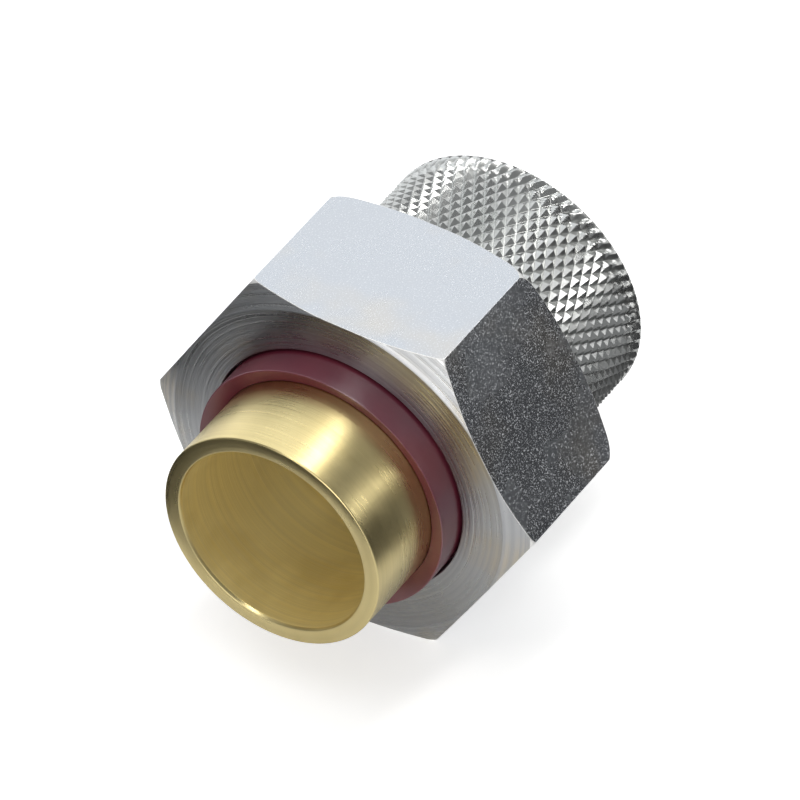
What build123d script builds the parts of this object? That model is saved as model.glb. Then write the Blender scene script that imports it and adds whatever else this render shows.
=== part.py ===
"""Dielectric union: a brass solder tail that a union nut draws against a threaded steel end."""

import os
from math import cos, pi, radians, sin, tan

from build123d import *

# Brass tail. Stations are counted along the pipe from the mouth of its solder cup.
cup_radius = 11.165
cup_depth = 19.05
tube_wall = 1.9
mouth_bevel = 0.18
mouth_bevel_depth = 0.4
rim_edge = 0.12
stop_width = 1.1
stop_thickness = 1.9
flange_width = 2.55
flange_thickness = 2.9

# Insulating sleeve: a collar round the tube, and a cup round the flange.
sleeve_fit = 0.05
collar_wall = 1.8
collar_reach = 3.52
collar_edge = 0.25
collar_dish = 0.8
cup_skin = 0.8
cup_floor = 1.6
cup_lip_gap = 0.25

# Gasket.
gasket_thickness = 2.4
gasket_bore_gap = 0.4

# Union nut. Its wall is measured from a flat to the thread.
nut_wall = 2.955
hex_edge = 0.3
lip_thickness = 3.4
lip_gap = 0.27
lip_bevel = 0.08
thread_reach = 13.6
relief_width = 1.8
relief_depth = 0.75
nut_mouth_bevel = 0.8
corner_angle = 25.5
corner_start = 0.1
front_corner_round = 0.8
rear_corner_round = 2.0

# Union thread, plain at its pitch radius.
thread_skirt = 0.52
thread_fit = 0.06

# Steel end.
male_thread_length = 7.6
male_thread_bevel = 1.0
neck_radius = 15.3
neck_length = 1.6
barrel_radius = 15.85
barrel_length = 16.0
waterway_radius = 10.2
waterway_bevel = 0.4
pipe_thread_radius = 12.34
pipe_thread_depth = 14.6
pipe_mouth_radius = 13.6
drill_angle = 45.0

# Diamond knurl: sharp pyramids between two sets of slanting grooves. One set runs on alone as ribs,
# which grow shallow towards the rear edge.
knurl_count = 71
knurl_angle = 30.0
knurl_depth = 0.5
front_fade = 0.65
front_drop = 0.5
rear_fade = 0.75
rib_length = 3.2
rear_bevel = 0.2

# Stations.
tail_length = cup_depth + stop_thickness
flange_front = tail_length - flange_thickness
lip_back = flange_front - cup_floor
nut_front = lip_back - lip_thickness
collar_front = nut_front - collar_reach
nut_back = nut_front + lip_thickness + relief_width + thread_reach
seat = tail_length + gasket_thickness
thread_end = seat + male_thread_length
knurl_front = thread_end + neck_length
rear = knurl_front + barrel_length

# Radii.
tube_radius = cup_radius + tube_wall
flange_radius = tube_radius + flange_width
collar_bore = tube_radius + sleeve_fit
collar_radius = collar_bore + collar_wall
skin_bore = flange_radius + sleeve_fit
skin_radius = skin_bore + cup_skin
lip_radius = collar_radius + lip_gap
thread_radius = skin_radius + thread_skirt
stop_radius = cup_radius - stop_width
nut_bore = thread_radius + thread_fit
axis_height = nut_bore + nut_wall
across_flats = 2 * axis_height
side = Plane(origin=(-rear / 2, 0, axis_height), x_dir=(1, 0, 0), z_dir=(0, -1, 0))
across = Plane(origin=(-rear / 2, 0, axis_height), x_dir=(0, 1, 0), z_dir=(1, 0, 0))
pipe_axis = Axis((0, 0, axis_height), (1, 0, 0))


with BuildPart() as solder_tailpiece:
    with BuildSketch(side):
        Polygon(
            (0, cup_radius + mouth_bevel),
            (0, tube_radius - rim_edge),
            (rim_edge, tube_radius),
            (flange_front, tube_radius),
            (flange_front, flange_radius),
            (tail_length, flange_radius),
            (tail_length, stop_radius),
            (cup_depth, stop_radius),
            (cup_depth, cup_radius),
            (mouth_bevel_depth, cup_radius),
            align=None,
        )
    revolve(axis=pipe_axis)

with BuildPart() as insulator:
    skin_end = tail_length - cup_lip_gap
    with BuildSketch(side):
        Polygon(
            (collar_front + collar_dish, collar_bore),
            (collar_front, collar_radius),
            (lip_back, collar_radius),
            (lip_back, skin_radius),
            (skin_end, skin_radius),
            (skin_end, skin_bore),
            (flange_front, skin_bore),
            (flange_front, collar_bore),
            align=None,
        )
    revolve(axis=pipe_axis)
    front_edge = edges().filter_by(GeomType.CIRCLE).sort_by(Axis.X)[0]
    chamfer(front_edge, collar_edge)

with BuildPart() as gasket:
    with BuildSketch(side):
        Polygon(
            (tail_length, waterway_radius + gasket_bore_gap),
            (tail_length, skin_radius),
            (seat, skin_radius),
            (seat, waterway_radius + gasket_bore_gap),
            align=None,
        )
    revolve(axis=pipe_axis)

with BuildPart() as union_nut:
    with BuildSketch(across.offset(nut_front)):
        hexagon = RegularPolygon(axis_height, 6, major_radius=False)
        fillet(hexagon.vertices(), hex_edge)
    extrude(amount=nut_back - nut_front)
    # A cone at each end cuts the corners back from a circle just outside the flats, and rounds their tips.
    face_radius = axis_height + corner_start
    tip_radius = axis_height / cos(radians(30))
    cone_rise = (tip_radius - face_radius) * tan(radians(corner_angle))
    with BuildSketch(side):
        Polygon(
            (nut_front, 0),
            (nut_front, face_radius),
            (nut_front + cone_rise, tip_radius),
            (nut_back - cone_rise, tip_radius),
            (nut_back, face_radius),
            (nut_back, 0),
            align=None,
        )
        for end, corner_round in ((0, front_corner_round), (-1, rear_corner_round)):
            tip = vertices().group_by(Axis.Y)[-1].sort_by(Axis.X)[end]
            fillet(tip, corner_round)
    revolve(axis=pipe_axis, mode=Mode.INTERSECT)
    relief_end = lip_back + relief_width
    with BuildSketch(side):
        Polygon(
            (nut_front, 0),
            (nut_front, lip_radius + lip_bevel),
            (nut_front + lip_bevel, lip_radius),
            (lip_back, lip_radius),
            (lip_back, nut_bore + relief_depth),
            (relief_end, nut_bore + relief_depth),
            (relief_end + relief_depth, nut_bore),
            (nut_back - nut_mouth_bevel, nut_bore),
            (nut_back, nut_bore + nut_mouth_bevel),
            (nut_back, 0),
            align=None,
        )
    revolve(axis=pipe_axis, mode=Mode.SUBTRACT)


def facet(*corners):
    """Make the flat face between three corners."""
    return Face(Wire.make_polygon(corners))


def knurled_barrel():
    """Build the barrel as rows of points, high at each peak and low where two grooves cross."""
    columns = 2 * knurl_count
    row_pitch = pi * barrel_radius / knurl_count / tan(radians(knurl_angle))
    first = knurl_front + front_fade
    last = rear - rear_fade
    rows = max(1, round((last - first) / row_pitch))
    rib_start = rear - rib_length
    rings = [[(knurl_front, barrel_radius - front_drop)] * columns]
    for row in range(rows + 1):
        station = first + (last - first) * row / rows
        low = barrel_radius - knurl_depth * min(1, (rear - rear_bevel - station) / (rib_length - rear_bevel))
        rings.append([(station, low if (row + column) % 2 else barrel_radius) for column in range(columns)])
    rings.append([(rear - rear_bevel, barrel_radius)] * columns)
    rings.append([(rear, barrel_radius - rear_bevel)] * columns)

    def point(ring, column):
        station, radius = rings[ring][column % columns]
        angle = pi * column / knurl_count
        return side.from_local_coords((station, radius * cos(angle), radius * sin(angle)))

    faces = []
    for ring in range(len(rings) - 1):
        for column in range(columns):
            a, b = point(ring, column), point(ring + 1, column)
            c, d = point(ring + 1, column + 1), point(ring, column + 1)
            ribbed = rings[ring + 1][0][0] > rib_start
            if (ring + column) % 2 and not ribbed:
                faces += [facet(a, b, d), facet(c, d, b)]
            else:
                faces += [facet(b, c, a), facet(d, a, c)]
    for ring in (0, len(rings) - 1):
        faces.append(facet(*(point(ring, column) for column in range(columns))))
    return Solid(Shell(faces))


barrel = knurled_barrel()

with BuildPart() as threaded_end:
    with BuildSketch(side):
        Polygon(
            (seat, 0),
            (seat, thread_radius - male_thread_bevel),
            (seat + male_thread_bevel, thread_radius),
            (thread_end - male_thread_bevel, thread_radius),
            (thread_end, thread_radius - male_thread_bevel),
            (thread_end, neck_radius),
            (knurl_front, neck_radius),
            (knurl_front, 0),
            align=None,
        )
    revolve(axis=pipe_axis)
    add(barrel)
    thread_start = rear - pipe_thread_depth
    drill_end = thread_start - (pipe_thread_radius - waterway_radius) / tan(radians(drill_angle))
    with BuildSketch(side):
        Polygon(
            (seat, 0),
            (seat, waterway_radius + waterway_bevel),
            (seat + waterway_bevel, waterway_radius),
            (drill_end, waterway_radius),
            (thread_start, pipe_thread_radius),
            (rear - (pipe_mouth_radius - pipe_thread_radius), pipe_thread_radius),
            (rear, pipe_mouth_radius),
            (rear, 0),
            align=None,
        )
    revolve(axis=pipe_axis, mode=Mode.SUBTRACT)

solder_tailpiece.part.label = "solder_tailpiece"
insulator.part.label = "insulator"
gasket.part.label = "gasket"
union_nut.part.label = "union_nut"
threaded_end.part.label = "threaded_end"

os.makedirs("parts", exist_ok=True)
for piece in (solder_tailpiece, insulator, gasket, union_nut, threaded_end):
    export_step(piece.part, f"parts/{piece.part.label}.step")

print(f"length {rear:.2f}, nut {nut_front:.2f} to {nut_back:.2f}, across flats {across_flats:.2f}")
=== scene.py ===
import math

import bmesh
import bpy
from mathutils import Matrix, Vector


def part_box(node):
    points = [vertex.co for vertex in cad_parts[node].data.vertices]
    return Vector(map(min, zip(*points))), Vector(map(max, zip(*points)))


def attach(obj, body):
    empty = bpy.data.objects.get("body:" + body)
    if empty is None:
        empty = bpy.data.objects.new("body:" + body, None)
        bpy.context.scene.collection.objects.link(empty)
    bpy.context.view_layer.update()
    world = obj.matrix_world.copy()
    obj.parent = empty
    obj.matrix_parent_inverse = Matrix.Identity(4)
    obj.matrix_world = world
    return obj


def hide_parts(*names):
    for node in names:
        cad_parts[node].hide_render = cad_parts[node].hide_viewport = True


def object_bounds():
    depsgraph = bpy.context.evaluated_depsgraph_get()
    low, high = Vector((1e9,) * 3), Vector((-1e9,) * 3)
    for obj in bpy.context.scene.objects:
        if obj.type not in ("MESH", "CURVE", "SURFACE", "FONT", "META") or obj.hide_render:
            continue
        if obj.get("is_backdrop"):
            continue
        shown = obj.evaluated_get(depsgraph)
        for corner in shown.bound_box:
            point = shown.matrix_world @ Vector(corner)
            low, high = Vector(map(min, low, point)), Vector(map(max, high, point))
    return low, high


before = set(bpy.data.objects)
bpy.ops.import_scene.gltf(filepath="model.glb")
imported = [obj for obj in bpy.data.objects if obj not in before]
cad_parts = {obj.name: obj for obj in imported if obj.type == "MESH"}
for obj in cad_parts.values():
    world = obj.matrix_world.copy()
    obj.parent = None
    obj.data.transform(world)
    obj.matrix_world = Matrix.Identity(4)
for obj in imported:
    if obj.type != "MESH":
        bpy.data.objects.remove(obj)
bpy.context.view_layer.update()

# Lengths in the dictionaries are millimetres. A station counts along the pipe from the brass mouth.
mm = 0.001
weld = 0.0005 * mm          # points closer than this are merged
cutTouch = 0.00001 * mm     # points closer than this to a cut lie on it
sameStation = 0.004         # points off by less than this share a station
sameRing = 0.03             # and by less than this, a ring
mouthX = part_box("solder_tailpiece")[0].x
nutLow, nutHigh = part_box("union_nut")
pipeHeight = (nutLow.z + nutHigh.z) / 2
print("frame loaded, pipe centre at", round(pipeHeight, 5))


# working moves

def dropAll():
    if bpy.context.mode != "OBJECT":
        bpy.ops.object.mode_set(mode="OBJECT")
    bpy.ops.object.select_all(action="DESELECT")


def editPiece(piece):
    dropAll()
    piece.select_set(True)
    bpy.context.view_layer.objects.active = piece
    bpy.ops.object.mode_set(mode="EDIT")
    bpy.ops.mesh.select_mode(type="VERT")
    bpy.ops.mesh.select_all(action="DESELECT")


def pickPoints(piece, wanted):
    # selects the points for which wanted(station, radius, point) holds, both in millimetres
    mesh = bmesh.from_edit_mesh(piece.data)
    for point in mesh.verts:
        point.select = wanted(point.co.x / mm, point.co.yz.length / mm, point)
    mesh.select_flush_mode()
    bmesh.update_edit_mesh(piece.data)


def pickRim(piece, station):
    # selects the open edges at a station
    bpy.ops.mesh.select_mode(type="EDGE")
    bpy.ops.mesh.select_all(action="DESELECT")
    mesh = bmesh.from_edit_mesh(piece.data)
    for edge in mesh.edges:
        level = all(abs(point.co.x / mm - station) < sameStation for point in edge.verts)
        if edge.is_boundary and level:
            edge.select_set(True)
    bmesh.update_edit_mesh(piece.data)


def movePoints(piece, radiusAt):
    # draws every point in or out to radiusAt(station, radius, point)
    mesh = bmesh.from_edit_mesh(piece.data)
    for point in mesh.verts:
        radius = point.co.yz.length / mm
        wanted = radiusAt(point.co.x / mm, radius, point)
        point.co.y *= wanted / radius
        point.co.z *= wanted / radius
    bmesh.update_edit_mesh(piece.data)


def drawOutline(name, corners):
    # a plane drawn together to one point, then extruded from corner to corner
    dropAll()
    bpy.ops.mesh.primitive_plane_add(size=mm)
    piece = bpy.context.object
    piece.name = name
    piece.data.name = name
    bpy.ops.object.mode_set(mode="EDIT")
    bpy.ops.mesh.select_mode(type="VERT")
    bpy.ops.mesh.select_all(action="SELECT")
    bpy.ops.mesh.merge(type="CENTER")
    here = Vector((corners[0][0], 0, corners[0][1])) * mm
    bpy.ops.transform.translate(value=here)
    for station, radius in corners[1:]:
        there = Vector((station, 0, radius)) * mm
        bpy.ops.mesh.extrude_region_move(TRANSFORM_OT_translate={"value": there - here})
        here = there
    bpy.ops.mesh.select_all(action="SELECT")
    bpy.ops.mesh.remove_doubles(threshold=weld)
    return piece


def spinRound(steps):
    bpy.ops.mesh.select_all(action="SELECT")
    bpy.ops.mesh.spin(steps=steps, angle=2 * math.pi, center=(0, 0, 0), axis=(1, 0, 0))
    bpy.ops.mesh.select_all(action="SELECT")
    bpy.ops.mesh.remove_doubles(threshold=weld)


def carryOn(here, corners):
    # extrudes the selected ring on through more corners
    for station, radius in corners:
        bpy.ops.mesh.extrude_region_move(
            TRANSFORM_OT_translate={"value": ((station - here[0]) * mm, 0, 0)})
        grow = radius / here[1]
        bpy.ops.transform.resize(value=(1, grow, grow), center_override=(0, 0, 0))
        here = (station, radius)


def carryRim(piece, station, radiusAt, turn=0.0):
    # extrudes the selected rim to a station, turned on by a little, each point to radiusAt(around)
    bpy.ops.mesh.extrude_region_move()
    mesh = bmesh.from_edit_mesh(piece.data)
    for point in mesh.verts:
        if point.select:
            around = math.atan2(-point.co.y, point.co.z) + turn
            radius = radiusAt(around) * mm
            point.co = (station * mm, -radius * math.sin(around), radius * math.cos(around))
    bmesh.update_edit_mesh(piece.data)


def trimEnds(piece, first, last):
    bpy.ops.mesh.select_all(action="SELECT")
    bpy.ops.mesh.bisect(plane_co=(first * mm, 0, 0), plane_no=(1, 0, 0),
                        clear_inner=True, threshold=cutTouch)
    bpy.ops.mesh.select_all(action="SELECT")
    bpy.ops.mesh.bisect(plane_co=(last * mm, 0, 0), plane_no=(1, 0, 0),
                        clear_outer=True, threshold=cutTouch)


def joinPieces(piece, others):
    dropAll()
    for other in others:
        other.select_set(True)
    piece.select_set(True)
    bpy.context.view_layer.objects.active = piece
    bpy.ops.object.join()


def bridgeRings(piece, rings):
    # joins two open ends, each given by its station and radius
    def onEnd(station, radius, point):
        near = any(abs(station - x) + abs(radius - r) < sameRing for x, r in rings)
        return near and any(edge.is_boundary for edge in point.link_edges)
    pickPoints(piece, onEnd)
    bpy.ops.mesh.bridge_edge_loops()


def roundEdges(piece, sizes):
    # rounds the edges that turn by more than sizes["roundFrom"] degrees
    dropAll()
    piece.select_set(True)
    bpy.context.view_layer.objects.active = piece
    bevel = piece.modifiers.new("rounded edges", "BEVEL")
    bevel.width = sizes["edgeRound"] * mm
    bevel.segments = sizes["roundSteps"]
    bevel.limit_method = "ANGLE"
    bevel.angle_limit = math.radians(sizes["roundFrom"])
    bpy.ops.object.modifier_apply(modifier=bevel.name)


def applyFirst(piece):
    bpy.ops.object.modifier_apply(modifier=piece.modifiers[0].name)


def finishPiece(piece, body, node, angle=32):
    # faces outwards, smooth inside the angle, then moved to its place on the pipe line
    editPiece(piece)
    bpy.ops.mesh.select_all(action="SELECT")
    bpy.ops.mesh.normals_make_consistent(inside=False)
    dropAll()
    piece.select_set(True)
    bpy.context.view_layer.objects.active = piece
    bpy.ops.object.shade_smooth_by_angle(angle=math.radians(angle))
    even = piece.modifiers.new("even faces", "WEIGHTED_NORMAL")
    even.keep_sharp = True
    even.weight = 60
    bpy.ops.object.modifier_apply(modifier=even.name)
    piece.location = (mouthX, 0, pipeHeight)
    bpy.ops.object.transform_apply(location=True, rotation=True, scale=True)
    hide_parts(node)
    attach(piece, body)
    print(piece.name, "made,", len(piece.data.polygons), "faces")


def screwThread(name, thread):
    # one pitch of the outline, arrayed along the pipe and screwed once round it
    pitch, low, high = thread["pitch"], thread["low"], thread["high"]
    flank = (high - low) * math.tan(math.radians(30))
    flat = thread["crestFlat"]
    turns = math.ceil((thread["last"] - thread["first"]) / pitch) + 3
    before = math.floor((thread["first"] - thread["phase"]) / pitch - 1.2)
    start = thread["phase"] + before * pitch
    piece = drawOutline(name, [
        (start, low), (start + flank, high), (start + flank + flat, high),
        (start + 2 * flank + flat, low), (start + pitch, low)])
    bpy.ops.mesh.select_all(action="SELECT")
    bpy.ops.mesh.subdivide(number_cuts=1)
    dropAll()
    piece.select_set(True)
    row = piece.modifiers.new("row of threads", "ARRAY")
    row.use_relative_offset = False
    row.use_constant_offset = True
    row.constant_offset_displace = (pitch * mm, 0, 0)
    row.count = turns
    applyFirst(piece)
    screw = piece.modifiers.new("helix", "SCREW")
    screw.axis = "X"
    screw.angle = 2 * math.pi
    screw.screw_offset = pitch * mm
    screw.steps = screw.render_steps = thread["steps"]
    screw.use_merge_vertices = False
    applyFirst(piece)
    editPiece(piece)
    bpy.ops.mesh.select_all(action="SELECT")
    bpy.ops.mesh.remove_doubles(threshold=4 * weld)
    trimEnds(piece, thread["first"], thread["last"])
    return piece


# brass tail

tail = {
    "steps": 256,
    "outline": [
        (0, 11.345), (0, 12.945), (0.12, 13.065), (18.05, 13.065), (18.05, 15.615),
        (20.95, 15.615), (20.95, 10.065), (19.05, 10.065), (19.05, 11.165), (0.4, 11.165),
        (0, 11.345)],
    "edgeRound": 0.06, "roundSteps": 2, "roundFrom": 18,
    "cupWall": 11.2,          # faces nearer the pipe line than this are the inside
}
brassTail = drawOutline("brassTail", tail["outline"])
spinRound(tail["steps"])
roundEdges(brassTail, tail)


# red sleeve between the brass and the nut

sleeve = {
    "steps": 224,
    "outline": [
        (10.33, 13.115), (9.61, 14.735), (9.56, 14.835), (9.64, 14.915), (16.45, 14.915),
        (16.45, 16.465), (20.70, 16.465), (20.70, 15.665), (18.05, 15.665), (18.05, 13.115),
        (10.33, 13.115)],
    "edgeRound": 0.09, "roundSteps": 3, "roundFrom": 30,
}
redSleeve = drawOutline("redSleeve", sleeve["outline"])
spinRound(sleeve["steps"])
roundEdges(redSleeve, sleeve)


# rubber gasket

seal = {
    "steps": 160,
    "outline": [(20.95, 10.6), (20.95, 16.465), (23.35, 16.465), (23.35, 10.6), (20.95, 10.6)],
    "edgeRound": 0.22, "roundSteps": 4, "roundFrom": 40,
}
rubberGasket = drawOutline("rubberGasket", seal["outline"])
spinRound(seal["steps"])
roundEdges(rubberGasket, seal)


# hexagon nut

nut = {
    "steps": 216,
    "front": 13.05, "back": 31.85,
    "flat": 20.0,             # from the pipe line to a flat
    "faceRadius": 20.1,
    "cornerAngle": 25.5,
    "tipRadius": 23.094, "frontTipRound": 0.8, "rearTipRound": 2.0,
    "tipSteps": 6,
    "tipSpare": 0.03,         # the turned shape is this much wider than the hexagon's tips
    "edgeRound": 0.09, "roundSteps": 3, "roundFrom": 20,
    "tipGap": 0.026,          # outline points of a flat closer than this are merged
    "opening": 15.185, "lipBevel": 0.08,
    "lipBack": 16.45,
    "reliefRadius": 17.795, "reliefBack": 18.25,
    "mouthRadius": 17.845,
}
nutThread = {
    "pitch": 1.5875, "low": 16.62, "high": 17.52, "crestFlat": 0.2, "phase": 0.1,
    "first": 18.48, "last": 31.54, "steps": 180,
}
rise = (nut["tipRadius"] - nut["faceRadius"]) * math.tan(math.radians(nut["cornerAngle"]))
lean = math.radians(90 - nut["cornerAngle"])


def tipArc(station, inward, tipRound):
    # the round from the cone to the corner; inward is 1 at the front and -1 at the back
    centreStation = station + inward * tipRound * math.tan(lean / 2)
    centreRadius = nut["tipRadius"] + nut["tipSpare"] - tipRound
    angles = [lean * step / nut["tipSteps"] for step in range(nut["tipSteps"], -1, -1)]
    return [(centreStation - inward * tipRound * math.sin(angle), centreRadius + tipRound * math.cos(angle))
            for angle in angles]


def flatOutward(side):
    # the way that the flat of this number faces
    turned = math.radians(60 * side)
    return Vector((0, math.sin(turned), math.cos(turned)))


lipEdge = nut["opening"] + nut["lipBevel"]
hexNut = drawOutline("hexNut", [
    (nut["front"], lipEdge), (nut["front"], nut["faceRadius"]),
    *tipArc(nut["front"] + rise, 1, nut["frontTipRound"]),
    *reversed(tipArc(nut["back"] - rise, -1, nut["rearTipRound"])),
    (nut["back"], nut["faceRadius"]), (nut["back"], nut["mouthRadius"])])
spinRound(nut["steps"])
for side in range(6):
    outward = flatOutward(side)
    bpy.ops.mesh.select_all(action="SELECT")
    bpy.ops.mesh.bisect(plane_co=outward * nut["flat"] * mm, plane_no=outward,
                        use_fill=True, clear_outer=True, threshold=cutTouch)
bpy.ops.mesh.select_all(action="DESELECT")
bpy.ops.mesh.select_mode(type="EDGE")
bpy.ops.mesh.edges_select_sharp(sharpness=math.radians(nut["roundFrom"]))
bpy.ops.mesh.bevel(offset=nut["edgeRound"] * mm, segments=nut["roundSteps"], affect="EDGES",
                   offset_type="WIDTH", loop_slide=False)
bpy.ops.mesh.select_mode(type="VERT")
# the bevel leaves some points a hair proud of the flats
nutMesh = bmesh.from_edit_mesh(hexNut.data)
for side in range(6):
    outward = flatOutward(side)
    for point in nutMesh.verts:
        point.co -= outward * max(0, point.co.dot(outward) - nut["flat"] * mm)
bmesh.update_edit_mesh(hexNut.data)
# and it crowds some at the tips, where the outline of a flat would fold over itself
pickPoints(hexNut, lambda station, radius, point:
           any(face.calc_area() > (nut["flat"] * mm / 2) ** 2 for face in point.link_faces))
bpy.ops.mesh.remove_doubles(threshold=nut["tipGap"] * mm)

# the bore, from the front opening in to the relief, and the thread behind it
pickPoints(hexNut, lambda station, radius, point:
           abs(station - nut["front"]) + abs(radius - lipEdge) < sameRing)
carryOn((nut["front"], lipEdge), [
    (nut["front"] + nut["lipBevel"], nut["opening"]), (nut["lipBack"], nut["opening"]),
    (nut["lipBack"], nut["reliefRadius"]), (nut["reliefBack"], nut["reliefRadius"])])
innerThread = screwThread("innerThread", nutThread)
movePoints(innerThread, lambda station, radius, point: max(
    radius,
    nut["reliefRadius"] - (station - nut["reliefBack"]),
    nut["mouthRadius"] - (nut["back"] - station)))
joinPieces(hexNut, [innerThread])
editPiece(hexNut)
bridgeRings(hexNut, [
    (nut["reliefBack"], nut["reliefRadius"]),
    (nutThread["first"], nut["reliefRadius"] - (nutThread["first"] - nut["reliefBack"]))])
bridgeRings(hexNut, [
    (nut["back"], nut["mouthRadius"]),
    (nutThread["last"], nut["mouthRadius"] - (nut["back"] - nutThread["last"]))])


# steel end: outer thread, neck, knurled barrel and tapered pipe thread

steel = {
    "seat": 23.35, "seatRadius": 15.985,
    "threadEnd": 30.95, "neckRadius": 15.3,
    "knurlFront": 32.55, "rear": 48.55,
    "neckBevel": 0.2,
    "frontEdge": 15.35, "rearEdge": 15.8, "rearBevel": 0.1, "ribGap": 0.05,
    "waterRadius": 10.2, "waterBevel": 0.4, "drillStart": 31.81,
    "mouthRadius": 13.6,
    "taper": 1 / 32,
}
outerThread = {
    "pitch": 1.5875, "low": 16.46, "high": 17.42, "crestFlat": 0.2, "phase": 0.06,
    "first": 23.35, "last": 30.95, "steps": 180,
}
pipeThread = {
    "pitch": 1.8143, "low": 11.84, "high": 13.27, "crestFlat": 0.08, "phase": 0,
    "first": 32.9, "last": 48.3, "steps": 144,
}
knurl = {
    "teeth": 71,
    "first": 33.2, "last": 47.8, "rows": 12,
    "frontTrim": 0.02,
    "grooveRadius": 15.35,
    "depth": 0.5,
    "grooveHalf": 0.014,
    "shoulder": 0.93,           # share of the depth below the blunt tip
    "tipShare": 0.12, "tipTop": 0.5,
    "ribStart": 45.9,           # the pyramids are cut off here, and ribs run on
    "crossEnd": (46.3, 47.9),   # the crossing grooves run out between these stations
    "ribEnd": (47.3, 48.4),     # and the ribs between these
    "ribLeft": 0.4,             # share of the depth that reaches the rear edge
    "ribFloor": 0.03, "ribFlank": 0.87,     # shares of the way from a groove to a ridge
    "ribSteps": 22,
}

steelEnd = screwThread("steelEnd", outerThread)
movePoints(steelEnd, lambda station, radius, point: min(
    radius,
    steel["seatRadius"] + (station - steel["seat"]),
    steel["seatRadius"] + (steel["threadEnd"] - station)))
pickRim(steelEnd, steel["seat"])
carryOn((steel["seat"], steel["seatRadius"]), [
    (steel["seat"], steel["waterRadius"] + steel["waterBevel"]),
    (steel["seat"] + steel["waterBevel"], steel["waterRadius"]),
    (steel["drillStart"], steel["waterRadius"])])
pickRim(steelEnd, steel["threadEnd"])
carryOn((steel["threadEnd"], steel["seatRadius"]), [
    (steel["threadEnd"], steel["neckRadius"] + steel["neckBevel"]),
    (steel["threadEnd"] + steel["neckBevel"], steel["neckRadius"]),
    (steel["knurlFront"], steel["neckRadius"])])

# one knurl tooth, flat: a plane turned to a diamond, inset for the groove and drawn up to a blunt tip
rowPitch = (knurl["last"] - knurl["first"]) / knurl["rows"]
halfColumn = math.pi * knurl["grooveRadius"] / knurl["teeth"]
dropAll()
bpy.ops.mesh.primitive_plane_add(size=math.sqrt(2) * mm)
knurlSleeve = bpy.context.object
knurlSleeve.name = "knurlSleeve"
bpy.ops.object.mode_set(mode="EDIT")
bpy.ops.mesh.select_mode(type="FACE")
bpy.ops.mesh.select_all(action="SELECT")
bpy.ops.transform.rotate(value=math.radians(45), orient_axis="Z", center_override=(0, 0, 0))
bpy.ops.transform.resize(value=(rowPitch, halfColumn, 1), center_override=(0, 0, 0))
bpy.ops.mesh.inset(thickness=knurl["grooveHalf"] * mm, depth=0)
for share, grow in ((knurl["shoulder"], knurl["tipShare"]), (1 - knurl["shoulder"], knurl["tipTop"])):
    bpy.ops.mesh.extrude_region_move(TRANSFORM_OT_translate={"value": (0, 0, share * knurl["depth"] * mm)})
    bpy.ops.transform.resize(value=(grow, grow, 1), center_override=(0, 0, 0))
bpy.ops.mesh.select_mode(type="VERT")
toothMesh = bmesh.from_edit_mesh(knurlSleeve.data)
for point in toothMesh.verts:
    around = point.co.y / (halfColumn * mm) * math.pi / knurl["teeth"]
    reach = knurl["grooveRadius"] * mm + point.co.z
    point.co = (point.co.x + knurl["first"] * mm, -reach * math.sin(around), reach * math.cos(around))
bmesh.update_edit_mesh(knurlSleeve.data)
dropAll()
knurlSleeve.select_set(True)
bpy.context.view_layer.objects.active = knurlSleeve
bpy.ops.object.empty_add(location=(rowPitch * mm, 0, 0), rotation=(math.pi / knurl["teeth"], 0, 0))
nextRow = bpy.context.object
bpy.ops.object.empty_add(rotation=(2 * math.pi / knurl["teeth"], 0, 0))
nextTooth = bpy.context.object
dropAll()
knurlSleeve.select_set(True)
bpy.context.view_layer.objects.active = knurlSleeve
for label, helper, count in (("half step", nextRow, 2), ("round the barrel", nextTooth, knurl["teeth"])):
    copies = knurlSleeve.modifiers.new(label, "ARRAY")
    copies.use_relative_offset = False
    copies.use_object_offset = True
    copies.offset_object = helper
    copies.count = count
    applyFirst(knurlSleeve)
rows = knurlSleeve.modifiers.new("along the barrel", "ARRAY")
rows.use_relative_offset = False
rows.use_constant_offset = True
rows.constant_offset_displace = (2 * rowPitch * mm, 0, 0)
rows.count = knurl["rows"] // 2 + 1
applyFirst(knurlSleeve)
for helper in (nextRow, nextTooth):
    bpy.data.objects.remove(helper)
editPiece(knurlSleeve)
bpy.ops.mesh.select_all(action="SELECT")
bpy.ops.mesh.remove_doubles(threshold=6 * weld)
sleeveFront = knurl["first"] + knurl["frontTrim"]
trimEnds(knurlSleeve, sleeveFront, knurl["ribStart"])
pickRim(knurlSleeve, sleeveFront)
bpy.ops.mesh.extrude_region_move(
    TRANSFORM_OT_translate={"value": ((steel["knurlFront"] - sleeveFront) * mm, 0, 0)})
movePoints(knurlSleeve, lambda station, radius, point: steel["frontEdge"] if point.select else radius)


# the ribs: the rim of the cut, carried on in steps whose points lean with the grooves and sink into them
def ribRadius(station, around):
    def cut(line):
        # depth of one set of grooves: 0 on the ridge, 1 in the groove
        away = 1 - abs((line + 1) % 2 - 1)
        return 1 - min(1, max(0, away - knurl["ribFloor"]) / knurl["ribFlank"])

    def fade(span):
        share = min(1, max(0, (station - span[0]) / (span[1] - span[0])))
        return 1 - share * share * (3 - 2 * share)

    step = (station - knurl["first"]) / rowPitch
    tooth = around / (math.pi / knurl["teeth"])
    ribs = cut(tooth - step) * (knurl["ribLeft"] + (1 - knurl["ribLeft"]) * fade(knurl["ribEnd"]))
    crossing = cut(tooth + step) * fade(knurl["crossEnd"])
    return knurl["grooveRadius"] + knurl["depth"] * (1 - max(ribs, crossing))


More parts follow.
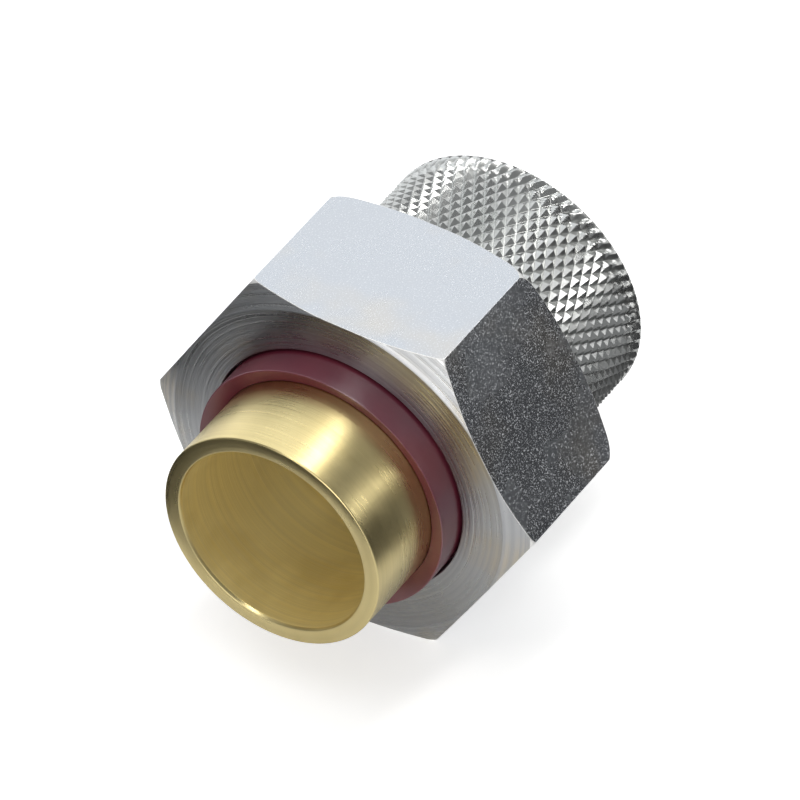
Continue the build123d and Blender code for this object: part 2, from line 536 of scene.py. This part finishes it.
# each rim point follows a rib to the rear edge, and from there the rim turns in to the bore
ribLast = steel["rear"] - steel["rearBevel"] - steel["ribGap"]
ribStride = (ribLast - knurl["ribStart"]) / knurl["ribSteps"]
pickRim(knurlSleeve, knurl["ribStart"])
bpy.ops.mesh.subdivide(number_cuts=1)
pickRim(knurlSleeve, knurl["ribStart"])
for step in range(1, knurl["ribSteps"] + 1):
    station = knurl["ribStart"] + ribStride * step
    carryRim(knurlSleeve, station, lambda around: ribRadius(station, around),
             turn=ribStride / rowPitch * math.pi / knurl["teeth"])
for station, radius in ((steel["rear"] - steel["rearBevel"], steel["rearEdge"]),
                        (steel["rear"], steel["rearEdge"] - steel["rearBevel"]),
                        (steel["rear"], steel["mouthRadius"])):
    carryRim(knurlSleeve, station, lambda around: radius)

taperThread = screwThread("taperThread", pipeThread)
movePoints(taperThread, lambda station, radius, point: max(
    steel["mouthRadius"] - (steel["rear"] - station),
    min(radius - (steel["rear"] - station) * steel["taper"],
        steel["waterRadius"] + (station - steel["drillStart"]))))
joinPieces(steelEnd, [knurlSleeve, taperThread])
editPiece(steelEnd)
bridgeRings(steelEnd, [
    (steel["knurlFront"], steel["neckRadius"]), (steel["knurlFront"], steel["frontEdge"])])
bridgeRings(steelEnd, [
    (steel["rear"], steel["mouthRadius"]),
    (pipeThread["last"], steel["mouthRadius"] - (steel["rear"] - pipeThread["last"]))])
bridgeRings(steelEnd, [
    (steel["drillStart"], steel["waterRadius"]),
    (pipeThread["first"], steel["waterRadius"] + pipeThread["first"] - steel["drillStart"])])
dropAll()
print("pieces modelled")


# finishes

def group(name, inputs, outputs):
    tree = bpy.data.node_groups.new(name, "ShaderNodeTree")
    for label, kind, value in inputs:
        socket = tree.interface.new_socket(name=label, in_out="INPUT", socket_type=kind)
        if value is not None:
            socket.default_value = value
    for label, kind in outputs:
        tree.interface.new_socket(name=label, in_out="OUTPUT", socket_type=kind)
    return tree, tree.nodes.new("NodeGroupInput"), tree.nodes.new("NodeGroupOutput")


def add(tree, kind, **settings):
    node = tree.nodes.new(kind)
    for key, value in settings.items():
        if key.startswith("in_"):
            name = key[3:]
            node.inputs[int(name) if name.isdigit() else name].default_value = value
        else:
            setattr(node, key, value)
    return node


def maths(tree, operation, first, second=None, third=None):
    node = tree.nodes.new("ShaderNodeMath")
    node.operation = operation
    for slot, value in enumerate((first, second, third)):
        if value is None:
            continue
        if isinstance(value, (int, float)):
            node.inputs[slot].default_value = value
        else:
            tree.links.new(value, node.inputs[slot])
    return node.outputs[0]


def remap(tree, value, low, high, newLow=0.0, newHigh=1.0, smooth=True):
    node = tree.nodes.new("ShaderNodeMapRange")
    node.interpolation_type = "SMOOTHSTEP" if smooth else "LINEAR"
    tree.links.new(value, node.inputs["Value"])
    for label, number in (("From Min", low), ("From Max", high), ("To Min", newLow), ("To Max", newHigh)):
        node.inputs[label].default_value = number
    return node.outputs["Result"]


def blendColours(tree, share, first, second):
    node = tree.nodes.new("ShaderNodeMix")
    node.data_type = "RGBA"
    if isinstance(share, (int, float)):
        node.inputs["Factor"].default_value = share
    else:
        tree.links.new(share, node.inputs["Factor"])
    for label, colour in (("A", first), ("B", second)):
        socket = next(s for s in node.inputs if s.name == label and s.type == "RGBA")
        if isinstance(colour, tuple):
            socket.default_value = (*colour, 1)
        else:
            tree.links.new(colour, socket)
    return next(s for s in node.outputs if s.type == "RGBA")


# turning marks: rings that follow the station and the radius, broken up a little round the turn
turningMarks, marksIn, marksOut = group(
    "turning marks",
    [("Position", "NodeSocketVector", None), ("Fine", "NodeSocketFloat", 5000.0),
     ("Coarse", "NodeSocketFloat", 900.0), ("Wander", "NodeSocketFloat", 0.00005)],
    [("Height", "NodeSocketFloat"), ("Streaks", "NodeSocketFloat")])
apart = add(turningMarks, "ShaderNodeSeparateXYZ")
turningMarks.links.new(marksIn.outputs["Position"], apart.inputs[0])
across = add(turningMarks, "ShaderNodeCombineXYZ")
turningMarks.links.new(apart.outputs["Y"], across.inputs["Y"])
turningMarks.links.new(apart.outputs["Z"], across.inputs["Z"])
reach = add(turningMarks, "ShaderNodeVectorMath", operation="LENGTH")
turningMarks.links.new(across.outputs[0], reach.inputs[0])
drift = add(turningMarks, "ShaderNodeTexNoise", in_Scale=120.0, in_Detail=2.0)
turningMarks.links.new(marksIn.outputs["Position"], drift.inputs["Vector"])
travel = maths(turningMarks, "ADD", apart.outputs["X"], reach.outputs["Value"])
travel = maths(turningMarks, "MULTIPLY_ADD", drift.outputs[0], marksIn.outputs["Wander"], travel)
heights = []
for label, detail in (("Fine", 3.0), ("Coarse", 4.0)):
    rings = add(turningMarks, "ShaderNodeTexNoise", noise_dimensions="1D", in_Scale=1.0, in_Detail=detail)
    turningMarks.links.new(maths(turningMarks, "MULTIPLY", travel, marksIn.outputs[label]),
                           rings.inputs["W"])
    heights.append(rings.outputs[0])
turningMarks.links.new(maths(turningMarks, "MULTIPLY_ADD", heights[1], 1.4, heights[0]),
                       marksOut.inputs["Height"])
turningMarks.links.new(remap(turningMarks, heights[1], 0.35, 0.65), marksOut.inputs["Streaks"])

# grain: small pits and raised specks of a rolled and plated skin
platedGrain, grainIn, grainOut = group(
    "plated grain",
    [("Position", "NodeSocketVector", None), ("Scale", "NodeSocketFloat", 4500.0)],
    [("Height", "NodeSocketFloat"), ("Specks", "NodeSocketFloat")])
grainNoise = add(platedGrain, "ShaderNodeTexNoise", in_Detail=3.0, in_Roughness=0.65)
grainCells = add(platedGrain, "ShaderNodeTexVoronoi", in_Randomness=1.0)
for node in (grainNoise, grainCells):
    platedGrain.links.new(grainIn.outputs["Position"], node.inputs["Vector"])
    platedGrain.links.new(grainIn.outputs["Scale"], node.inputs["Scale"])
pits = remap(platedGrain, grainCells.outputs["Distance"], 0.05, 0.32, 1.0, 0.0)
platedGrain.links.new(maths(platedGrain, "MULTIPLY_ADD", pits, 0.35, grainNoise.outputs[0]),
                      grainOut.inputs["Height"])
platedGrain.links.new(remap(platedGrain, grainNoise.outputs[0], 0.54, 0.68), grainOut.inputs["Specks"])

# smudge: wide soft patches of handling and passivation
smudge, smudgeIn, smudgeOut = group(
    "smudge",
    [("Position", "NodeSocketVector", None), ("Scale", "NodeSocketFloat", 90.0)],
    [("Patches", "NodeSocketFloat"), ("Cloud", "NodeSocketFloat")])
for label, detail, shift, low, high in (("Patches", 3.0, 0.0, 0.48, 0.68), ("Cloud", 5.0, 7.0, 0.3, 0.7)):
    cloud = add(smudge, "ShaderNodeTexNoise", in_Detail=detail)
    moved = add(smudge, "ShaderNodeVectorMath", operation="ADD", in_1=(shift, shift, shift))
    smudge.links.new(smudgeIn.outputs["Position"], moved.inputs[0])
    smudge.links.new(moved.outputs[0], cloud.inputs["Vector"])
    smudge.links.new(smudgeIn.outputs["Scale"], cloud.inputs["Scale"])
    smudge.links.new(remap(smudge, cloud.outputs[0], low, high), smudgeOut.inputs[label])


def startMaterial(name, metallic):
    material = bpy.data.materials.new(name)
    material.use_nodes = True
    tree = material.node_tree
    shader = tree.nodes["Principled BSDF"]
    shader.inputs["Metallic"].default_value = metallic
    place = add(tree, "ShaderNodeTexCoord")
    centred = add(tree, "ShaderNodeMapping", in_Location=(0, 0, -pipeHeight))
    tree.links.new(place.outputs["Object"], centred.inputs["Vector"])
    return material, tree, shader, centred.outputs[0]


def useGroup(tree, source, position, **values):
    node = tree.nodes.new("ShaderNodeGroup")
    node.node_tree = source
    tree.links.new(position, node.inputs["Position"])
    for label, value in values.items():
        node.inputs[label].default_value = value
    return node


def bump(tree, height, distance, below=None):
    node = add(tree, "ShaderNodeBump", in_Strength=1.0, in_Distance=distance)
    tree.links.new(height, node.inputs["Height"])
    if below is not None:
        tree.links.new(below, node.inputs["Normal"])
    return node.outputs[0]


def metalFinish(name, look):
    material, tree, shader, position = startMaterial(name, look.get("metallic", 1.0))
    cloud = useGroup(tree, smudge, position, Scale=look["patchScale"])
    colour = blendColours(tree, cloud.outputs["Patches"], look["colour"], look["patchColour"])
    normal = None
    rough = remap(tree, cloud.outputs["Cloud"], 0, 1, look["rough"][0], look["rough"][1], smooth=False)
    if "rings" in look:
        rings = useGroup(tree, turningMarks, position, Fine=look["rings"]["fine"],
                         Coarse=look["rings"]["coarse"], Wander=look["rings"]["wander"])
        normal = bump(tree, rings.outputs["Height"], look["rings"]["height"])
        streaks = maths(tree, "MULTIPLY", rings.outputs["Streaks"], look["rings"]["tint"])
        colour = blendColours(tree, streaks, colour, look["streakColour"])
        rough = maths(tree, "MULTIPLY_ADD", rings.outputs["Streaks"], look["rings"]["rough"], rough)
    if "grain" in look:
        grain = useGroup(tree, platedGrain, position, Scale=look["grain"]["scale"])
        normal = bump(tree, grain.outputs["Height"], look["grain"]["height"], normal)
        specks = maths(tree, "MULTIPLY", grain.outputs["Specks"], look["grain"]["tint"])
        colour = blendColours(tree, specks, colour, look["speckColour"])
        rough = maths(tree, "MULTIPLY_ADD", specks, look["grain"]["rough"], rough)
        metallic = maths(tree, "MULTIPLY_ADD", specks, -look["grain"]["dull"], look.get("metallic", 1.0))
        tree.links.new(metallic, shader.inputs["Metallic"])
    tree.links.new(colour, shader.inputs["Base Color"])
    tree.links.new(rough, shader.inputs["Roughness"])
    tree.links.new(normal, shader.inputs["Normal"])
    return material


zincFlats = metalFinish("zincFlats", {
    "colour": (0.53, 0.555, 0.59), "patchColour": (0.58, 0.565, 0.54), "patchScale": 85.0,
    "rough": (0.24, 0.32), "speckColour": (0.80, 0.82, 0.85),
    "grain": {"scale": 5600.0, "height": 0.000012, "tint": 0.9, "rough": 0.3, "dull": 0.8},
})
# painted highlight: a pale, duller zinc for the small faces along the nut's edges, standing in for the thin
# bright line of light that those edges catch
zincEdgeHighlight = metalFinish("zincEdgeHighlight", {
    "colour": (0.88, 0.88, 0.87), "patchColour": (0.74, 0.74, 0.73), "patchScale": 900.0,
    "rough": (0.45, 0.60), "speckColour": (0.60, 0.60, 0.60), "metallic": 0.7,
    "grain": {"scale": 5600.0, "height": 0.000010, "tint": 0.5, "rough": 0.1, "dull": 0.2},
})
zincTurned = metalFinish("zincTurned", {
    "colour": (0.50, 0.51, 0.52), "patchColour": (0.54, 0.50, 0.43), "patchScale": 110.0,
    "rough": (0.22, 0.32), "streakColour": (0.40, 0.41, 0.43),
    "rings": {"fine": 6500.0, "coarse": 1500.0, "wander": 0.00012,
              "height": 0.000030, "tint": 0.6, "rough": 0.08},
})
zincKnurl = metalFinish("zincKnurl", {
    "colour": (0.60, 0.61, 0.60), "patchColour": (0.55, 0.56, 0.55), "patchScale": 160.0,
    "rough": (0.24, 0.34), "speckColour": (0.50, 0.50, 0.50),
    "grain": {"scale": 5200.0, "height": 0.000008, "tint": 0.3, "rough": 0.1, "dull": 0.3},
})
brass = metalFinish("brass", {
    "colour": (0.74, 0.62, 0.31), "patchColour": (0.67, 0.55, 0.26), "patchScale": 90.0,
    "rough": (0.25, 0.33), "streakColour": (0.64, 0.54, 0.27),
    "rings": {"fine": 7500.0, "coarse": 1800.0, "wander": 0.00008,
              "height": 0.000009, "tint": 0.4, "rough": 0.05},
})
# partly real, partly painted light: the cup's inside has a rougher turned finish, and a lighter, less
# metallic brass colour that paints in the light bouncing round inside the cup
brassInsidePaintedLight = metalFinish("brassInsidePaintedLight", {
    "colour": (0.88, 0.73, 0.31), "patchColour": (0.76, 0.61, 0.24), "patchScale": 120.0,
    "rough": (0.42, 0.52), "streakColour": (0.74, 0.62, 0.29), "metallic": 0.4,
    "rings": {"fine": 5200.0, "coarse": 1500.0, "wander": 0.0001,
              "height": 0.000014, "tint": 0.5, "rough": 0.05},
})

redLook = {
    "colours": ((0.115, 0.013, 0.030), (0.155, 0.021, 0.038)), "patchScale": 140.0,
    "rough": (0.28, 0.36), "ior": 1.9,
    "rings": {"fine": 2600.0, "coarse": 700.0, "wander": 0.0002, "height": 0.000004},
}
redPlastic, redTree, redShader, redPlace = startMaterial("redPlastic", 0.0)
redCloud = useGroup(redTree, smudge, redPlace, Scale=redLook["patchScale"])
redMarks = useGroup(redTree, turningMarks, redPlace, Fine=redLook["rings"]["fine"],
                    Coarse=redLook["rings"]["coarse"], Wander=redLook["rings"]["wander"])
redColour = blendColours(redTree, redCloud.outputs["Cloud"], *redLook["colours"])
redRough = remap(redTree, redCloud.outputs["Patches"], 0, 1, *redLook["rough"], smooth=False)
redNormal = bump(redTree, redMarks.outputs["Height"], redLook["rings"]["height"])
redTree.links.new(redColour, redShader.inputs["Base Color"])
redTree.links.new(redRough, redShader.inputs["Roughness"])
redTree.links.new(redNormal, redShader.inputs["Normal"])
redShader.inputs["IOR"].default_value = redLook["ior"]

rubberLook = {
    "colours": ((0.014, 0.014, 0.015), (0.03, 0.03, 0.03)),
    "rough": (0.5, 0.72), "grainScale": 2600.0, "grainHeight": 0.00001,
}
blackRubber, rubberTree, rubberShader, rubberPlace = startMaterial("blackRubber", 0.0)
rubberGrain = useGroup(rubberTree, platedGrain, rubberPlace, Scale=rubberLook["grainScale"])
rubberColour = blendColours(rubberTree, rubberGrain.outputs["Specks"], *rubberLook["colours"])
rubberRough = remap(rubberTree, rubberGrain.outputs["Height"], 0, 1, *rubberLook["rough"], smooth=False)
rubberNormal = bump(rubberTree, rubberGrain.outputs["Height"], rubberLook["grainHeight"])
rubberTree.links.new(rubberColour, rubberShader.inputs["Base Color"])
rubberTree.links.new(rubberRough, rubberShader.inputs["Roughness"])
rubberTree.links.new(rubberNormal, rubberShader.inputs["Normal"])

# which faces get which finish; the small edge faces of the nut get a pale finish that paints a highlight
# line along the edges
paint = {
    "nutOutside": 19.8,             # past this radius lie the flats and their edges
    "flatLean": 0.05,
    "edgeLean": (0.08, 0.86),       # how far the normal of an edge face leans along the pipe
    "edgeSize": 0.6,                # and the square that it is smaller than
    "barrelOutside": 15.2,
    "barrelFront": 0.1, "barrelRear": 0.05,
}
for piece, finishes in (
        (hexNut, (zincTurned, zincFlats, zincEdgeHighlight)), (steelEnd, (zincTurned, zincKnurl)),
        (brassTail, (brass, brassInsidePaintedLight)), (redSleeve, (redPlastic,)), (rubberGasket, (blackRubber,))):
    piece.data.materials.clear()
    for finish in finishes:
        piece.data.materials.append(finish)
# painted highlight: the small faces that lean part way along the pipe, the edges of the flats, get the pale
# edge finish
for face in hexNut.data.polygons:
    tilted = abs(face.normal.x)
    small = face.area < (paint["edgeSize"] * mm) ** 2
    if face.center.yz.length <= paint["nutOutside"] * mm:
        face.material_index = 0
    elif small and paint["edgeLean"][0] < tilted < paint["edgeLean"][1]:
        face.material_index = 2
    else:
        face.material_index = int(tilted < paint["flatLean"])
# the inside of the cup gets the lighter brass, which paints in its bounced light
for face in brassTail.data.polygons:
    face.material_index = int(face.center.yz.length < tail["cupWall"] * mm)
barrelFront, barrelRear = steel["knurlFront"] - paint["barrelFront"], steel["rear"] - paint["barrelRear"]
for face in steelEnd.data.polygons:
    onBarrel = barrelFront < face.center.x / mm < barrelRear
    face.material_index = int(onBarrel and face.center.yz.length > paint["barrelOutside"] * mm)
print("finishes made")

finishPiece(brassTail, "tail", "solder_tailpiece")
finishPiece(redSleeve, "tail", "insulator")
finishPiece(rubberGasket, "seal", "gasket")
finishPiece(hexNut, "nut", "union_nut")
finishPiece(steelEnd, "steel_end", "threaded_end", angle=28)


# floor, light and camera

floor = {"size": 4.0, "colour": (0.80, 0.80, 0.80), "lift": 0.55, "mirrorLift": 0.08}
dropAll()
bpy.ops.mesh.primitive_plane_add(size=floor["size"])
studioFloor = bpy.context.object
studioFloor.name = "studioFloor"
studioFloor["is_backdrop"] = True
paper = bpy.data.materials.new("whitePaper")
paper.use_nodes = True
paperTree = paper.node_tree
paperShader = paperTree.nodes["Principled BSDF"]
paperShader.inputs["Roughness"].default_value = 0.9
paperShader.inputs["Specular IOR Level"].default_value = 0.0
paperShader.inputs["Base Color"].default_value = (*floor["colour"], 1)
rays = add(paperTree, "ShaderNodeLightPath")
seen = maths(paperTree, "MULTIPLY", rays.outputs["Is Camera Ray"], floor["lift"])
seen = maths(paperTree, "MULTIPLY_ADD", rays.outputs["Is Glossy Ray"], floor["mirrorLift"], seen)
paperTree.links.new(seen, paperShader.inputs["Emission Strength"])
paperShader.inputs["Emission Color"].default_value = (1, 1, 1, 1)
studioFloor.data.materials.append(paper)

sky = {"colour": (0.96, 0.98, 1.0), "strength": 0.24}
world = bpy.context.scene.world or bpy.data.worlds.new("studio")
bpy.context.scene.world = world
world.use_nodes = True
skyShader = world.node_tree.nodes["Background"]
skyShader.inputs["Color"].default_value = (*sky["colour"], 1)
skyShader.inputs["Strength"].default_value = sky["strength"]

centre = Vector((0, 0, pipeHeight))
lamps = {
    # name: direction, distance, width across, height, glow, colour
    "topStrip": ((0.20, -0.03, 0.98), 0.6, 0.085, 1.30, 8.0, (1.0, 0.99, 0.97)),
    "sideStrip": ((0.63, -0.70, 0.35), 0.6, 0.60, 0.075, 2.2, (1.0, 0.99, 0.97)),
    "overhead": ((0.45, 0.52, 0.72), 0.7, 0.70, 0.62, 1.05, (0.96, 0.98, 1.0)),
    "backCard": ((0.40, 0.90, 0.10), 0.7, 0.80, 0.40, 1.15, (0.97, 0.98, 1.0)),
    "endCard": ((0.97, -0.20, 0.12), 0.7, 0.32, 0.36, 0.95, (1.0, 1.0, 1.0)),
    "frontFill": ((-0.90, -0.15, 0.25), 0.9, 0.90, 0.60, 2.3, (1.0, 0.98, 0.96)),
}
for name, (direction, distance, width, height, glow, colour) in lamps.items():
    light = bpy.data.lights.new(name, "AREA")
    light.shape = "RECTANGLE"
    light.size, light.size_y = width, height
    light.energy = glow * math.pi * width * height
    light.color = colour
    lamp = bpy.data.objects.new(name, light)
    bpy.context.scene.collection.objects.link(lamp)
    towards = Vector(direction).normalized()
    lamp.location = centre + towards * distance
    lamp.rotation_euler = towards.to_track_quat("Z", "Y").to_euler()
    lamp.visible_camera = False

# dark cards beside the part, seen only in what the metal reflects
cards = {
    # name: middle, length and height of the card, degrees turned about Z and raised from lying flat
    "rightFloor": ((0.20, -0.25, 0.0005), (0.56, 0.50), -51, 0),
    "rightWall": ((0.30, -0.37, 0.065), (0.60, 0.15), 39, 90),
    "leftFloor": ((-0.14, 0.13, 0.0005), (0.30, 0.20), 138, 0),
}
cardBlack = bpy.data.materials.new("cardBlack")
cardBlack.use_nodes = True
cardShader = cardBlack.node_tree.nodes["Principled BSDF"]
cardShader.inputs["Base Color"].default_value = (0.03, 0.03, 0.032, 1)
cardShader.inputs["Roughness"].default_value = 0.9
for name, (middle, size, turned, raised) in cards.items():
    dropAll()
    bpy.ops.mesh.primitive_plane_add(size=1)
    card = bpy.context.object
    card.name = name
    card.scale = (*size, 1)
    card.rotation_euler = (math.radians(raised), 0, math.radians(turned))
    card.location = middle
    card.data.materials.append(cardBlack)
    card.visible_camera = False
    card.visible_shadow = False
    card.visible_diffuse = False
    card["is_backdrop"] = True

shot = {
    "azimuth": -59.3857, "elevation": 42.5344, "roll": 1.4628,
    "focalPixels": 9587.43, "picturePixels": 800, "sensor": 36,
    "place": (-0.6373726, -0.3778335, 0.7009587),
}
turn, tilt = math.radians(shot["azimuth"]), math.radians(shot["elevation"])
back = Vector((math.sin(turn) * math.cos(tilt), -math.cos(turn) * math.cos(tilt), math.sin(tilt)))
right = Vector((0, 0, 1)).cross(back).normalized()
stand = Matrix((right, back.cross(right), back)).transposed().to_4x4()
camera = bpy.data.objects.new("camera", bpy.data.cameras.new("camera"))
bpy.context.scene.collection.objects.link(camera)
camera.data.sensor_width = shot["sensor"]
camera.data.lens = shot["focalPixels"] / shot["picturePixels"] * shot["sensor"]
camera.data.clip_start, camera.data.clip_end = 0.05, 20
rolled = Matrix.Rotation(math.radians(shot["roll"]), 4, "Z")
camera.matrix_world = Matrix.Translation(shot["place"]) @ stand @ rolled
bpy.context.scene.camera = camera
bpy.context.scene.view_settings.view_transform = "Standard"
print("stage, lamps and camera set")

low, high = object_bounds()
